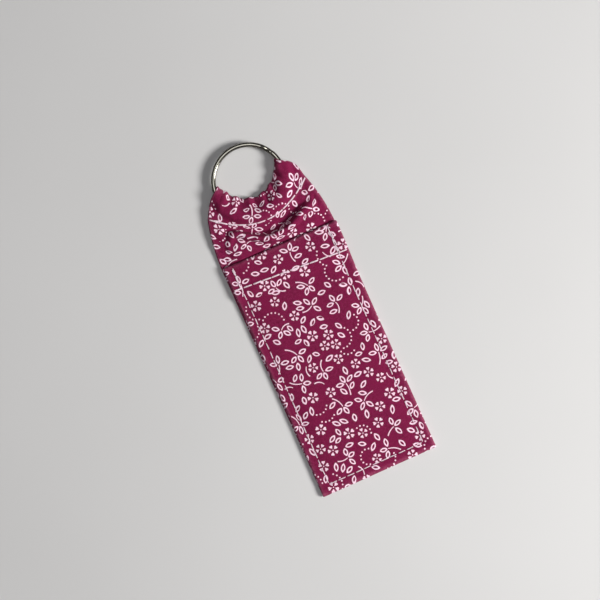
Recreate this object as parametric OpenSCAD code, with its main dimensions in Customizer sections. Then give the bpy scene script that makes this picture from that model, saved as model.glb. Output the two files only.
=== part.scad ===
// Fabric pocket key fob: one folded strip of printed cotton, gathered onto a split ring.
// It lies flat on its back. X runs across the strip, Y from the bottom fold to the ring, Z up.
// The origin is under the middle of the whole object, on the surface that it lies on.

/* [Ring] */
// Outer diameter of the split ring
ring_d = 25; // [24:0.5:26]
// Width of the wire, across the ring's plane
wire_w = 1.5; // [1.2:0.1:1.6]
// Height of one of the wire's two turns
wire_h = 1.1; // [0.8:0.05:1.1]
// Space between the wire's two turns
turn_gap = 0.04; // [0.02:0.01:0.1]
// Radius of the wire's edges
wire_edge_r = 0.45; // [0.2:0.05:0.5]
// Where the upper turn ends, anticlockwise from +X, in degrees
wire_end_angle = 39; // [0:1:120]
// Turn over which the wire climbs from the lower turn to the upper one, in degrees
climb_angle = 20; // [14:1:30]

/* [Fabric] */
// Width of the folded strip
strip_w = 40.6; // [40:0.2:46]
// Length from the ring's far side to the bottom fold
overall_len = 117.4; // [100:0.2:140]
// Thickness of one layer of cotton
cloth_t = 0.28; // [0.2:0.02:0.28]
// Thickness of the interfacing between two layers of cotton
interfacing_t = 0.24; // [0.16:0.02:0.24]
// Rounding of the bottom corners
corner_r = 0.8; // [0.4:0.1:2]
// How far the interfacing stops short of the strip's edges
interfacing_inset = 1; // [0.5:0.1:2]

/* [Pocket] */
// Distance from the ring's centre down to the pocket's mouth
mouth_drop = 23.1; // [22.5:0.1:28]
// Depth of the hem turned in at the mouth
hem_depth = 10.6; // [8:0.2:14]
// How far the hem's stitches lie from the mouth's edge, at the middle
hem_stitch_drop = 9; // [7:0.2:10]
// Slant of the hem's stitches, in degrees
hem_slant = -3.3; // [-4:0.1:4]
// Cloth outside each side seam
side_margin = 3.4; // [3:0.1:5]
// Cloth below the bottom seam
bottom_margin = 2.9; // [2.5:0.1:5]
// Space left between the flat pocket's hem and its back
pocket_gap = 0.3; // [0.2:0.05:0.5]

/* [Casing] */
// Distance from the ring's centre down to the middle of the casing's top fold
fold_drop = 5.8; // [5.4:0.1:6.4]
// Half the distance between the casing's two tips
tip_x = 11.5; // [11:0.1:12]
// Height of the tips above the ring's centre
tip_rise = 2; // [1:0.1:3]
// Distance from the ring's centre down to the middle of the casing stitch
stitch_drop = 13.8; // [13.6:0.1:14.6]
// Half-width of the casing at the ends of its stitch
casing_end_x = 18; // [17:0.1:19]
// Distance from the ring's centre down to the ends of the casing stitch
casing_end_drop = 6; // [5:0.1:7]
// Length of the turned-under tail below the casing stitch
tail_len = 3; // [2:0.1:4]
// Height of the gathered neck
neck_h = 2.4; // [1.6:0.1:3]

/* [Stitching] */
// Distance from one stitch to the next
stitch_pitch = 3; // [2:0.1:4]
// Length of thread that shows in each stitch
stitch_len = 2.2; // [1.4:0.1:2.4]
// Width of the thread
thread_w = 0.4; // [0.3:0.05:0.5]
// Height of the thread above the cloth
thread_h = 0.22; // [0.15:0.01:0.25]
// Length of each backtack beside the pocket's mouth
backtack_len = 9; // [5:0.5:9]

/* [Hidden] */

berry = "#a02a5f";
berry_inside = "#8f2655";
interfacing_white = "#e9e4dc";
thread_white = "#f3dfe6";
nickel = "#b9b4a8";

// Heights, from the surface that the object lies on
strip_t = 2 * cloth_t + interfacing_t;
hem_z = strip_t + pocket_gap;
front_z = hem_z + cloth_t;
front_top = front_z + strip_t;
ring_air = 0.1;
ring_z = strip_t + ring_air;
turn_rise = wire_h + turn_gap;
casing_front_z = ring_z + turn_rise + wire_h + ring_air;
casing_top = casing_front_z + strip_t;

// Places along Y
ring_y = (overall_len - ring_d) / 2;
bottom_y = -overall_len / 2;
mouth_y = ring_y - mouth_drop;
bottom_stitch_y = bottom_y + bottom_margin;
seam_x = strip_w / 2 - side_margin;
neck_wide_y = mouth_y - 0.9;
casing_end_y = ring_y - casing_end_drop;

// Clearances between pieces that move on different bodies
body_gap = 0.4;
neck_gap = 0.2;
fold_rim_w = 0.8;
seam_wall_w = 1;
climb_skin = 0.01;
climb_lap = 1.5;
curve_steps = 24;

// The casing's three curves and the neck's edge, as height over x or width over y
function fold_y(x) = ring_y - fold_drop + (fold_drop + tip_rise) * pow(x / tip_x, 2);
function stitch_y(x) =
    ring_y - stitch_drop + (stitch_drop - casing_end_drop) * pow(x / casing_end_x, 2);
function stitch_slope(x) =
    atan(2 * (stitch_drop - casing_end_drop) * x / pow(casing_end_x, 2));
function neck_x(y) =
    strip_w / 2 - (strip_w / 2 - casing_end_x)
    * pow(max(0, y - neck_wide_y) / (casing_end_y - neck_wide_y), 2);

// Points from one x to another along the fold or the stitch curve, moved down by drop
function fold_points(from, to, drop = 0) =
    [for (i = [0:curve_steps]) let (x = from + (to - from) * i / curve_steps) [x, fold_y(x) - drop]];
function stitch_points(from, to, drop = 0) =
    [for (i = [0:curve_steps]) let (x = from + (to - from) * i / curve_steps) [x, stitch_y(x) - drop]];

// Points up one side of the neck, from y0 to y1
function neck_side(side, y0, y1) =
    [for (i = [0:8]) let (y = y0 + (y1 - y0) * i / 8) [side * neck_x(y), y]];

// The strip's flat outline below the mouth, with rounded bottom corners
module strip_outline(inset = 0) {
    half = strip_w / 2 - inset;
    low = bottom_y + inset;
    r = max(corner_r - inset, 0.1);
    difference() {
        translate([-half, low]) square([2 * half, mouth_y - low]);
        for (side = [-1, 1])
            translate([side * half, low])
                difference() {
                    square(2 * r, center = true);
                    translate([-side * r, r]) circle(r, $fn = 48);
                }
    }
}

module layer(z, t) {
    translate([0, 0, z]) linear_extrude(t) children();
}

// One stitch's visible thread, lying along X from its middle
module stitch(z, len = stitch_len) {
    translate([-len / 2, -thread_w / 2, z]) cube([len, thread_w, thread_h]);
}

// Stitches along Y at one x
module stitch_column(x, y0, y1, z) {
    count = floor((y1 - y0) / stitch_pitch);
    first = (y0 + y1 - (count - 1) * stitch_pitch) / 2;
    for (i = [0:count - 1])
        translate([x, first + i * stitch_pitch, 0]) rotate(90) stitch(z);
}

// Stitches along the hem's slanted line, kept to the x values from x0 to x1
module hem_stitches(x0, x1, z) {
    count = floor((x1 - x0) / stitch_pitch);
    first = (x0 + x1 - (count - 1) * stitch_pitch) / 2;
    for (i = [0:count - 1]) {
        x = first + i * stitch_pitch;
        translate([x, mouth_y - hem_stitch_drop + x * tan(hem_slant), 0]) rotate(hem_slant) stitch(z);
    }
}

// Two runs of thread side by side, where the seam is sewn forwards and back
module backtack(x, y0, y1, z) {
    for (side = [-1, 1])
        translate([x + side * thread_w * 0.75, (y0 + y1) / 2, 0]) rotate(90) stitch(z, y1 - y0);
}

// ---- The back panel and everything sewn flat onto it ----

module back_print_cloth() {
    color(berry) layer(0, cloth_t) strip_outline();
}

module back_interfacing() {
    color(interfacing_white) layer(cloth_t, interfacing_t) strip_outline(interfacing_inset);
}

module back_lining() {
    color(berry_inside) layer(cloth_t + interfacing_t, cloth_t) strip_outline();
}

module side_margin(side) {
    color(berry)
        layer(strip_t, strip_t)
            intersection() {
                strip_outline();
                translate([side * (strip_w / 2 - side_margin / 2), (mouth_y + bottom_stitch_y) / 2])
                    square([side_margin, mouth_y - bottom_stitch_y], center = true);
            }
}

module bottom_fold() {
    color(berry)
        layer(strip_t, strip_t)
            intersection() {
                strip_outline();
                translate([-strip_w / 2, bottom_y]) square([strip_w, bottom_margin]);
            }
}

module side_stitch(side) {
    color(thread_white)
        stitch_column(
            side * (seam_x + thread_w), bottom_stitch_y + stitch_pitch / 3,
            mouth_y - backtack_len - thread_w, 2 * strip_t);
}

module bottom_stitch() {
    count = floor(2 * seam_x / stitch_pitch);
    color(thread_white)
        for (i = [0:count - 1])
            translate([(i - (count - 1) / 2) * stitch_pitch, bottom_stitch_y - thread_w, 0])
                stitch(2 * strip_t);
}

module mouth_backtack(side) {
    color(thread_white)
        backtack(side * (seam_x + 2 * thread_w), mouth_y - backtack_len + thread_w, mouth_y, 2 * strip_t);
}

module hem_stitch_ends() {
    color(thread_white)
        for (side = [-1, 1])
            translate([side * (strip_w / 2 - stitch_len / 2), 0, 0])
                translate([0, mouth_y - hem_stitch_drop + side * strip_w / 2 * tan(hem_slant), 0])
                    rotate(hem_slant) stitch(2 * strip_t, stitch_len * 0.8);
}

// The strip between the mouth and the casing stitch. It lies over the casing's tail.
module neck_gather() {
    tail_edge = tail_len + neck_gap;
    seam_edge = seam_wall_w / 2 + neck_gap;
    tail_side_y = casing_end_y - tail_edge;
    seam_side_y = casing_end_y - seam_edge;
    low_y = mouth_y + body_gap;
    color(berry) {
        layer(0, strip_t + neck_gap)
            polygon(concat(
                neck_side(1, mouth_y, tail_side_y),
                stitch_points(casing_end_x, -casing_end_x, tail_edge),
                [for (p = neck_side(1, tail_side_y, mouth_y)) [-p[0], p[1]]]));
        layer(strip_t + neck_gap / 2, neck_h - strip_t - neck_gap / 2)
            polygon(concat(
                neck_side(1, low_y, seam_side_y),
                stitch_points(casing_end_x, -casing_end_x, seam_edge),
                [for (p = neck_side(1, seam_side_y, low_y)) [-p[0], p[1]]]));
    }
}

// ---- The pocket's front panel, free along its mouth ----

module front_panel_outline(inset = 0) {
    half = seam_x - body_gap - inset;
    low = bottom_stitch_y + body_gap + inset;
    translate([-half, low]) square([2 * half, mouth_y - inset - low]);
}

module front_lining() {
    color(berry_inside) layer(front_z, cloth_t) front_panel_outline();
}

module front_interfacing() {
    color(interfacing_white)
        layer(front_z + cloth_t, interfacing_t) front_panel_outline(interfacing_inset);
}

module front_print_cloth() {
    color(berry) layer(front_z + cloth_t + interfacing_t, cloth_t) front_panel_outline();
}

module mouth_hem() {
    color(berry_inside)
        layer(hem_z, cloth_t)
            intersection() {
                front_panel_outline();
                translate([-strip_w / 2, mouth_y - hem_depth]) square([strip_w, hem_depth]);
            }
}

module hem_stitch() {
    color(thread_white) hem_stitches(-seam_x + body_gap, seam_x - body_gap, front_top);
}

// ---- The casing round the ring ----

module casing_outline(drop) {
    polygon(concat(
        fold_points(-tip_x, tip_x),
        stitch_points(casing_end_x, -casing_end_x, drop)));
}

module casing_front() {
    color(berry) layer(casing_front_z, strip_t) casing_outline(seam_wall_w / 2);
}

module casing_back() {
    color(berry) layer(0, strip_t) casing_outline(tail_len);
}

// The turned-over edge, kept inside the ring so that the wire never meets it
module casing_fold() {
    inside_r = ring_d / 2 - wire_w - 2 * ring_air;
    color(berry)
        layer(strip_t, casing_front_z - strip_t)
            intersection() {
                polygon(concat(
                    fold_points(-tip_x, tip_x),
                    fold_points(tip_x, -tip_x, fold_rim_w)));
                translate([0, ring_y]) circle(inside_r, $fn = 96);
            }
}

// The cloth between the casing's two sides, held together along the casing stitch
module casing_seam() {
    color(berry)
        layer(strip_t, casing_front_z - strip_t)
            polygon(concat(
                stitch_points(-casing_end_x, casing_end_x, -seam_wall_w / 2),
                stitch_points(casing_end_x, -casing_end_x, seam_wall_w / 2)));
}

module casing_stitch() {
    count = 11;
    color(thread_white)
        for (i = [0:count - 1]) {
            x = (i - (count - 1) / 2) * 2.6;
            translate([x, stitch_y(x), 0]) rotate(stitch_slope(x)) stitch(casing_top);
        }
}

module casing_backtack(side) {
    x = side * (casing_end_x - 2.2);
    color(thread_white)
        for (shift = [-0.6, 0.6])
            translate([x, stitch_y(x) + shift * thread_w * 1.3 + thread_w, 0])
                rotate(stitch_slope(x)) stitch(casing_top);
}

// ---- The ring: one wire wound twice round, with a short climb between the turns ----

// The wire's outline less a skin, as [distance from the ring's axis, height in the turn]
function wire_section(skin = 0) =
    let (
        r = wire_edge_r,
        near = ring_d / 2 - wire_w + r,
        far = ring_d / 2 - r,
        corners = [[far, r, -90], [far, wire_h - r, 0], [near, wire_h - r, 90], [near, r, 180]]
    )
    [for (c = corners, i = [0:3])
        let (turn = c[2] + i * 30)
        [c[0] + (r - skin) * cos(turn), c[1] + (r - skin) * sin(turn)]];

module wire_turn(z, from, sweep) {
    translate([0, 0, z]) rotate(from)
        rotate_extrude(angle = sweep, $fn = 180) polygon(wire_section());
}

// The climb between two turns. Its ends reach a little way inside both.
module wire_climb(from, sweep) {
    section = wire_section(climb_skin);
    sides = len(section);
    steps = 14;
    points = [for (i = [0:steps], p = section)
        let (
            a = from - climb_lap + (sweep + 2 * climb_lap) * i / steps,
            t = min(1, max(0, (a - from) / sweep)),
            rise = turn_rise * t * t * (3 - 2 * t)
        )
        [p[0] * cos(a), p[0] * sin(a), p[1] + rise]];
    walls = [for (i = [0:steps - 1], j = [0:sides - 1])
        let (k = (j + 1) % sides)
        [i * sides + j, i * sides + k, (i + 1) * sides + k, (i + 1) * sides + j]];
    start_cap = [for (j = [sides - 1:-1:0]) j];
    end_cap = [for (j = [0:sides - 1]) steps * sides + j];
    polyhedron(points, concat(walls, [start_cap, end_cap]));
}

module split_ring() {
    climb_start = wire_end_angle - climb_angle / 2;
    climb_stop = wire_end_angle + climb_angle / 2;
    color(nickel)
        translate([0, ring_y, ring_z]) {
            wire_turn(0, climb_stop, 360 - climb_angle);
            wire_climb(climb_start, climb_angle);
            wire_turn(turn_rise, climb_stop, 360 - climb_angle);
        }
}

back_print_cloth();
back_interfacing();
back_lining();
side_margin(-1);  // side_margin_left
side_margin(1);  // side_margin_right
bottom_fold();
side_stitch(-1);  // side_stitch_left
side_stitch(1);  // side_stitch_right
bottom_stitch();
mouth_backtack(-1);  // mouth_backtack_left
mouth_backtack(1);  // mouth_backtack_right
hem_stitch_ends();
neck_gather();
front_print_cloth();
front_interfacing();
front_lining();
mouth_hem();
hem_stitch();
casing_front();
casing_back();
casing_fold();
casing_seam();
casing_stitch();
casing_backtack(-1);  // casing_backtack_left
casing_backtack(1);  // casing_backtack_right
split_ring();
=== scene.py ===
"""Looks for a fabric pocket key fob: one folded strip of printed cotton, gathered onto a split ring.

Lengths inside this script are in millimetres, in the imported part's own frame, until a mesh is made.
X runs across the strip, Y from the bottom fold to the ring, Z up out of the pocket's front.
A sheet of cloth has flat coordinates: s across the strip and t along it.
"""
import math

import bmesh
import bpy
import numpy as np
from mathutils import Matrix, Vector
from mathutils.geometry import delaunay_2d_cdt


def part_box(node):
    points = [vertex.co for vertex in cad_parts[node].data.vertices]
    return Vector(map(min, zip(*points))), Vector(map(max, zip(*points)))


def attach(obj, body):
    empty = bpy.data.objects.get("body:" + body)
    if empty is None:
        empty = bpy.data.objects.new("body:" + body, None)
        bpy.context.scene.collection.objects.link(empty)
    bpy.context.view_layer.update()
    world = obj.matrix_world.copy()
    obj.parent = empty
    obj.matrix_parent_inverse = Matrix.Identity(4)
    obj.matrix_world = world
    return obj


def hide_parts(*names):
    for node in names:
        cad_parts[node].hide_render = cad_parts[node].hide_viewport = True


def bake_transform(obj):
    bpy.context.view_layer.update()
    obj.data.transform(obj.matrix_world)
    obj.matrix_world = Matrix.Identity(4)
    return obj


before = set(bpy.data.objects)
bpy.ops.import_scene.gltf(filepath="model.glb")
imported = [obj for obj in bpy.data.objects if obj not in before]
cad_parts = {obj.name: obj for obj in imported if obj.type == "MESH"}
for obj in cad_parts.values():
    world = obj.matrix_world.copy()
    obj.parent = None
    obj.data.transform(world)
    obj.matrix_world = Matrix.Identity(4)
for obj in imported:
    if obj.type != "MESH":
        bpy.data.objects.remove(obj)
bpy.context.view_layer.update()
MM = 0.001
SEED = 7


# ---- places, from the frame

def node_box(node):
    """A node's lowest and highest corners, in millimetres."""
    low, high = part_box(node)
    return np.array(low) / MM, np.array(high) / MM


back_low, back_high = node_box("back_print_cloth")
lining_high = node_box("back_lining")[1]
ring_low, ring_high = node_box("split_ring")

THICK = lining_high[2]                       # one strip: two layers of cotton with interfacing
HALF_T = THICK / 2
HALF_W = back_high[0]
BOTTOM = back_low[1]
MOUTH = back_high[1]
SEAM_X = node_box("side_margin_right")[0][0]  # the side seams, where the margins begin
BOTTOM_SEAM = node_box("bottom_fold")[1][1]
RING_Y = ring_high[1] - (ring_high[0] - ring_low[0]) / 2
RING_R = (ring_high[0] - ring_low[0]) / 2
WIRE_W = 1.5
WIRE_HALF_H = 0.55                           # of the wire itself
WIRE_FOOT = ring_low[2]                      # of the ring: its two turns and the climb between them
WIRE_MID_Z = (ring_high[2] + WIRE_FOOT) / 2
WIRE_HALF_Z = (ring_high[2] - WIRE_FOOT) / 2
WIRE_MID_R = RING_R - WIRE_W / 2
PITCH = 3.0                                  # from one stitch to the next
HEM_SLOPE = math.tan(math.radians(-3.3))
HEM_DROP = 9.0                               # mouth's edge to hem stitches, at x 0
HEM_DEPTH = 10.4                             # of the hem's turned part


# ---- small helpers

def unit(v):
    return v / np.linalg.norm(v, axis=-1, keepdims=True)


def strides(points, axis=0):
    """The distances between neighbouring points."""
    return np.linalg.norm(np.diff(points, axis=axis), axis=-1)


def running(steps):
    return np.concatenate([[0], np.cumsum(steps)])


def add_object(name, data):
    made = bpy.data.objects.new(name, data)
    bpy.context.scene.collection.objects.link(made)
    return made


def smooth(x):
    x = np.clip(x, 0, 1)
    return x * x * (3 - 2 * x)


def bump(x, width, power=2.0):
    return np.exp(-np.abs(x / width) ** power)


class Ripple:
    """Smooth, seeded noise over flat coordinates, from -1 to 1, about scale millimetres across."""

    def __init__(self, seed, scale, stretch=1.0, waves=9):
        draw = np.random.default_rng(seed)
        angle = draw.uniform(0, math.tau, waves)
        size = draw.uniform(0.6, 1.5, waves) * math.tau / scale
        self.ks = np.cos(angle) * size
        self.kt = np.sin(angle) * size / stretch
        self.phase = draw.uniform(0, math.tau, waves)

    def __call__(self, s, t):
        total = np.zeros(np.broadcast(s, t).shape)
        for ks, kt, phase in zip(self.ks, self.kt, self.phase):
            total = total + np.sin(ks * s + kt * t + phase)
        return total / (0.5 * len(self.ks) + 1)


# ---- the printed pattern

def turned(points, angle, at):
    c, s = math.cos(angle), math.sin(angle)
    p = np.asarray(points, float)
    return np.column_stack([p[:, 0] * c - p[:, 1] * s + at[0], p[:, 0] * s + p[:, 1] * c + at[1]])


def leaf(length, width):
    """An almond-shaped leaf with a dark slot, as [(points, is it ink)], from its stalk along +X."""
    def almond(middle, long, wide, count):
        a = np.arange(count) * math.tau / count
        y = wide / 2 * np.sin(a) * np.abs(np.sin(a)) ** 0.55
        return np.column_stack([middle + long / 2 * np.cos(a), y])
    return [(almond(length * 0.5, length, width, 18), True),
            (almond(length * 0.52, length * 0.58, width * 0.46, 12), False)]


def petal(inner, outer, half_angle):
    """A wedge-shaped petal with a shallow notch in its outer edge."""
    one_side = [(inner + 0.35, 0.55), (outer * 0.78, 1), (outer * 0.97, 0.8), (outer, 0.4)]
    shape = [(inner, 0), *one_side, (outer * 0.93, 0), *((r, -share) for r, share in one_side[::-1])]
    rays = [(r, half_angle * share) for r, share in shape]
    return np.array([(r * math.cos(a), r * math.sin(a)) for r, a in rays])


def disc(radius, count=8, at=(0, 0)):
    a = np.arange(count) * math.tau / count
    return np.column_stack([at[0] + radius * np.cos(a), at[1] + radius * np.sin(a)])


def flower(draw):
    """A dot with five petals round it."""
    shape = petal(0.52, draw.uniform(1.6, 1.85), math.radians(23))
    ways = [i * math.tau / 5 + draw.uniform(-0.05, 0.05) for i in range(5)]
    return [(disc(0.22), True)] + [(turned(shape, way, (0, 0)), True) for way in ways]


def stem(length, bend, wide, narrow):
    """A curved, tapering stem from the origin along +X. Returns its outline and its middle line."""
    steps = 7
    u = np.linspace(0, 1, steps)
    mid = np.column_stack([u * length, bend * 4 * u * (1 - u)])
    way = unit(np.gradient(mid, axis=0))
    side = np.column_stack([-way[:, 1], way[:, 0]]) * (wide + (narrow - wide) * u)[:, None] / 2
    return np.vstack([mid + side, (mid - side)[::-1]]), mid


def sprig(draw):
    """A curved stem with a leaf at the tip, one to each side below it, and sometimes one more lower down."""
    length = draw.uniform(3.2, 4.4)
    bend = draw.uniform(0.25, 0.6) * draw.choice([-1, 1])
    outline, mid = stem(length, bend, 0.40, 0.28)
    made = [(outline, True)]
    tip_way = math.atan2(*(mid[-1] - mid[-2])[::-1])
    places = [(mid[-1], 0.30, tip_way + draw.uniform(-0.15, 0.15))]
    for side in (-1, 1):
        places.append((mid[-1], 0.62, tip_way + side * draw.uniform(1.15, 1.5)))
    if draw.random() < 0.5:
        places.append((mid[2], 0.62, tip_way + draw.choice([-1, 1]) * draw.uniform(1.0, 1.3)))
    for at, gap, way in places:
        start = at + gap * np.array([math.cos(way), math.sin(way)])
        for points, ink in leaf(draw.uniform(2.6, 3.0), draw.uniform(1.45, 1.62)):
            made.append((turned(points, way, start), ink))
    return made


def trail(draw):
    """A curved row of dots."""
    count = int(draw.integers(5, 9))
    radius = draw.uniform(2.6, 5.0)
    side = draw.choice([-1, 1])
    step = 1.25 / radius
    return [(disc(0.29, 8, (radius * math.sin(i * step), side * radius * (1 - math.cos(i * step)))), True)
            for i in range(count)]


def lone_leaf(draw):
    return leaf(draw.uniform(2.7, 3.2), draw.uniform(1.5, 1.65))


def pair_of_leaves(draw):
    made = []
    for side in (-1, 1):
        for points, ink in leaf(draw.uniform(2.5, 2.9), 1.45):
            made.append((turned(points, side * draw.uniform(0.75, 1.0), (0, side * 0.35)), ink))
    return made


def lone_stem(draw):
    return [(stem(draw.uniform(2.8, 3.6), draw.uniform(0.3, 0.6), 0.42, 0.26)[0], True)]


class Print:
    """A random layout of motifs over a stretch of cloth. A motif is [(points, is it ink)]."""
    CELL = 0.1                               # of the grid that says where there is already ink
    MARGIN = 100                             # cells round the layout, for motifs that reach over its edge
    GAP = 4                                  # cells kept clear between motifs
    # what is placed, in this order: motif, how many to a square millimetre, tries at finding room for each
    RECIPE = [(sprig, 0.0088, 80), (flower, 0.0090, 60), (trail, 0.0046, 60), (pair_of_leaves, 0.003, 60),
              (lone_leaf, 0.0135, 80), (lone_stem, 0.002, 40), (trail, 0.004, 80), (lone_leaf, 0.005, 120),
              (flower, 0.0012, 400), (lone_leaf, 0.004, 500)]

    def __init__(self, width, height, seed):
        self.draw = np.random.default_rng(seed)
        self.width, self.height = width, height
        self.taken = np.zeros([int(size / self.CELL) + 2 * self.MARGIN for size in (height, width)], bool)
        y, x = np.mgrid[-self.GAP:self.GAP + 1, -self.GAP:self.GAP + 1]
        near = x * x + y * y <= self.GAP ** 2
        self.stamp = np.column_stack([x[near], y[near]])
        self.motifs = []
        for make, density, tries in self.RECIPE:
            for _ in range(int(width * height * density)):
                self.place(make, tries)

    def place(self, make, tries):
        shape = make(self.draw)
        for _ in range(tries):
            at = self.draw.uniform((0, 0), (self.width, self.height))
            way = self.draw.uniform(0, math.tau)
            moved = [(turned(points, way, at), ink) for points, ink in shape]
            edge = np.vstack([densified(points) for points, ink in moved if ink])
            cell = (edge / self.CELL).astype(int) + self.MARGIN
            last = np.array(self.taken.shape[::-1]) - 1
            if cell.min() < 0 or (cell.max(axis=0) > last).any() or self.taken[cell[:, 1], cell[:, 0]].any():
                continue
            spread = (cell[:, None] + self.stamp).reshape(-1, 2).clip(0, last)
            self.taken[spread[:, 1], spread[:, 0]] = True
            self.motifs += moved
            return


def densified(points, step=0.3):
    """A closed outline's points with more between them."""
    ends = np.roll(points, -1, axis=0)
    found = []
    for a, b in zip(points, ends):
        count = max(1, int(np.linalg.norm(b - a) / step))
        found.append(a + (b - a) * np.arange(count)[:, None] / count)
    return np.vstack(found)


def clipped(points, low, high):
    """A polygon cut to an upright rectangle."""
    sides = [(axis, corner[axis], above) for axis in (0, 1) for corner, above in ((low, True), (high, False))]
    for axis, limit, keep_above in sides:
        if len(points) == 0:
            return points
        kept = []
        for a, b in zip(points, np.roll(points, -1, axis=0)):
            a_in = a[axis] >= limit if keep_above else a[axis] <= limit
            b_in = b[axis] >= limit if keep_above else b[axis] <= limit
            if a_in:
                kept.append(a)
            if a_in != b_in:
                cut = a + (b - a) * (limit - a[axis]) / (b[axis] - a[axis])
                cut[axis] = limit
                kept.append(cut)
        points = np.array(kept).reshape(-1, 2)
    return points


# ---- sheets of cloth

EDGE_R = 0.34                                # of a sheet's rounded edge
RIM_GAP = 0.03                               # least distance from a sheet's outline to an inner point
POINT_CELL = 0.12                            # about the least distance between two inner points
UV_OF_BACK = 60                              # how far a sheet's other side is moved in its UV map
LEAST_INK = 0.01                             # area of the smallest scrap of a motif that is kept
OPEN_EDGE = 0.05                             # an edge thicker than this has sharp corners
TINY = 1e-9


class Sheet:
    """A curved sheet: a grid of points over flat coordinates, read between the points."""

    def __init__(self, s_cols, t_rows, points):
        self.s, self.t, self.p = np.asarray(s_cols), np.asarray(t_rows), points
        ds = np.gradient(points, self.s, axis=1)
        dt = np.gradient(points, self.t, axis=0)
        self.n = unit(np.cross(ds, dt))

    def lookup(self, grid, s, t):
        i = np.clip(np.searchsorted(self.t, t) - 1, 0, len(self.t) - 2)
        j = np.clip(np.searchsorted(self.s, s) - 1, 0, len(self.s) - 2)
        u = ((t - self.t[i]) / (self.t[i + 1] - self.t[i]))[:, None]
        v = ((s - self.s[j]) / (self.s[j + 1] - self.s[j]))[:, None]
        return ((1 - u) * ((1 - v) * grid[i, j] + v * grid[i, j + 1])
                + u * ((1 - v) * grid[i + 1, j] + v * grid[i + 1, j + 1]))

    def at(self, s, t):
        s, t = np.atleast_1d(np.asarray(s, float)), np.atleast_1d(np.asarray(t, float))
        return self.lookup(self.p, s, t), unit(self.lookup(self.n, s, t))


def edge_profile(distance):
    """A rounded edge's share of the full half-thickness, at a distance from the edge."""
    x = np.clip(distance / EDGE_R, 0, 1)
    return np.sqrt(np.clip(1 - (1 - x) ** 2, 0, 1))


def marks_between(low, high, spacing):
    """Rows from low to high, as far apart as spacing says."""
    marks = [low]
    while marks[-1] < high:
        marks.append(marks[-1] + spacing(marks[-1]))
    scale = (high - low) / (marks[-1] - low)
    return low + (np.array(marks) - low) * scale


def rectangle_outline(low, high, extra, rows, end_step):
    """Points round a rectangle, anticlockwise: rows up its sides, even steps along its ends, and the extra
    ones that lie on it."""
    across = np.linspace(low[0], high[0], 1 + round((high[0] - low[0]) / end_step))
    sides = [(1, low[1], across, 0), (0, high[0], rows, 1),
             (1, high[1], across[::-1], 0), (0, low[0], rows[::-1], 1)]
    found = []
    for fixed, value, marks, axis in sides:
        on = extra[np.abs(extra[:, fixed] - value) < TINY][:, axis] if len(extra) else np.array([])
        on = on[(on > low[axis] + 1e-5) & (on < high[axis] - 1e-5)]
        regular = [mark for i, mark in enumerate(marks[:-1])
                   if i == 0 or not len(on) or np.abs(on - mark).min() > 0.05]
        both = sorted(set(np.round(np.concatenate([regular, on]), 7)), reverse=bool(marks[0] > marks[-1]))
        for mark in both:
            point = np.empty(2)
            point[fixed], point[axis] = value, mark
            found.append(point)
    return np.array(found)


def area_of(points):
    """A closed outline's area."""
    x, y = points[:, 0], points[:, 1]
    return abs(np.sum(x * np.roll(y, -1) - y * np.roll(x, -1))) / 2


def within(points, shape):
    """Which of the points lie inside a closed outline."""
    x, y = points[:, :1], points[:, 1:]
    ax, ay = shape[:, 0], shape[:, 1]
    bx, by = np.roll(ax, -1), np.roll(ay, -1)
    straddles = (ay > y) != (by > y)
    cross_x = ax + (y - ay) * (bx - ax) / np.where(by == ay, 1.0, by - ay)
    return (straddles & (x < cross_x)).sum(axis=1) % 2 == 1


def inked_share(middles, motifs):
    """1 for each triangle's middle that lies on ink, and 0 for the rest. A motif's gaps win over its ink."""
    on_ink, in_gap = np.zeros(len(middles), bool), np.zeros(len(middles), bool)
    for shape, ink in motifs:
        in_box = ((middles > shape.min(axis=0)) & (middles < shape.max(axis=0))).all(axis=1)
        near = np.flatnonzero(in_box)
        (on_ink if ink else in_gap)[near[within(middles[near], shape)]] = True
    return (on_ink & ~in_gap).astype(float)


def triangulated(outline, grid_points, motifs):
    """Triangles inside the outline, through the grid points and the motifs' edges. Returns the vertices, the
    triangles, each one's ink, and the outline's vertices."""
    points = [tuple(p) for p in outline]
    edges = []
    for shape, _ in motifs:
        first, count = len(points), len(shape)
        points += [tuple(p) for p in shape]
        edges += [(first + k, first + (k + 1) % count) for k in range(count)]
    points += [tuple(p) for p in grid_points]
    rim_face = list(range(len(outline)))
    verts, _, tris, origins, _, _ = delaunay_2d_cdt([Vector(p) for p in points], edges, [rim_face], 1, 1e-5)
    rim = {i: v for v, origin in enumerate(origins) for i in origin if i < len(outline)}
    flat = np.array([v[:] for v in verts])
    inked = inked_share(flat[np.array(tris)].mean(axis=1), motifs)
    return flat, tris, inked, [rim[i] for i in rim_face]


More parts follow.
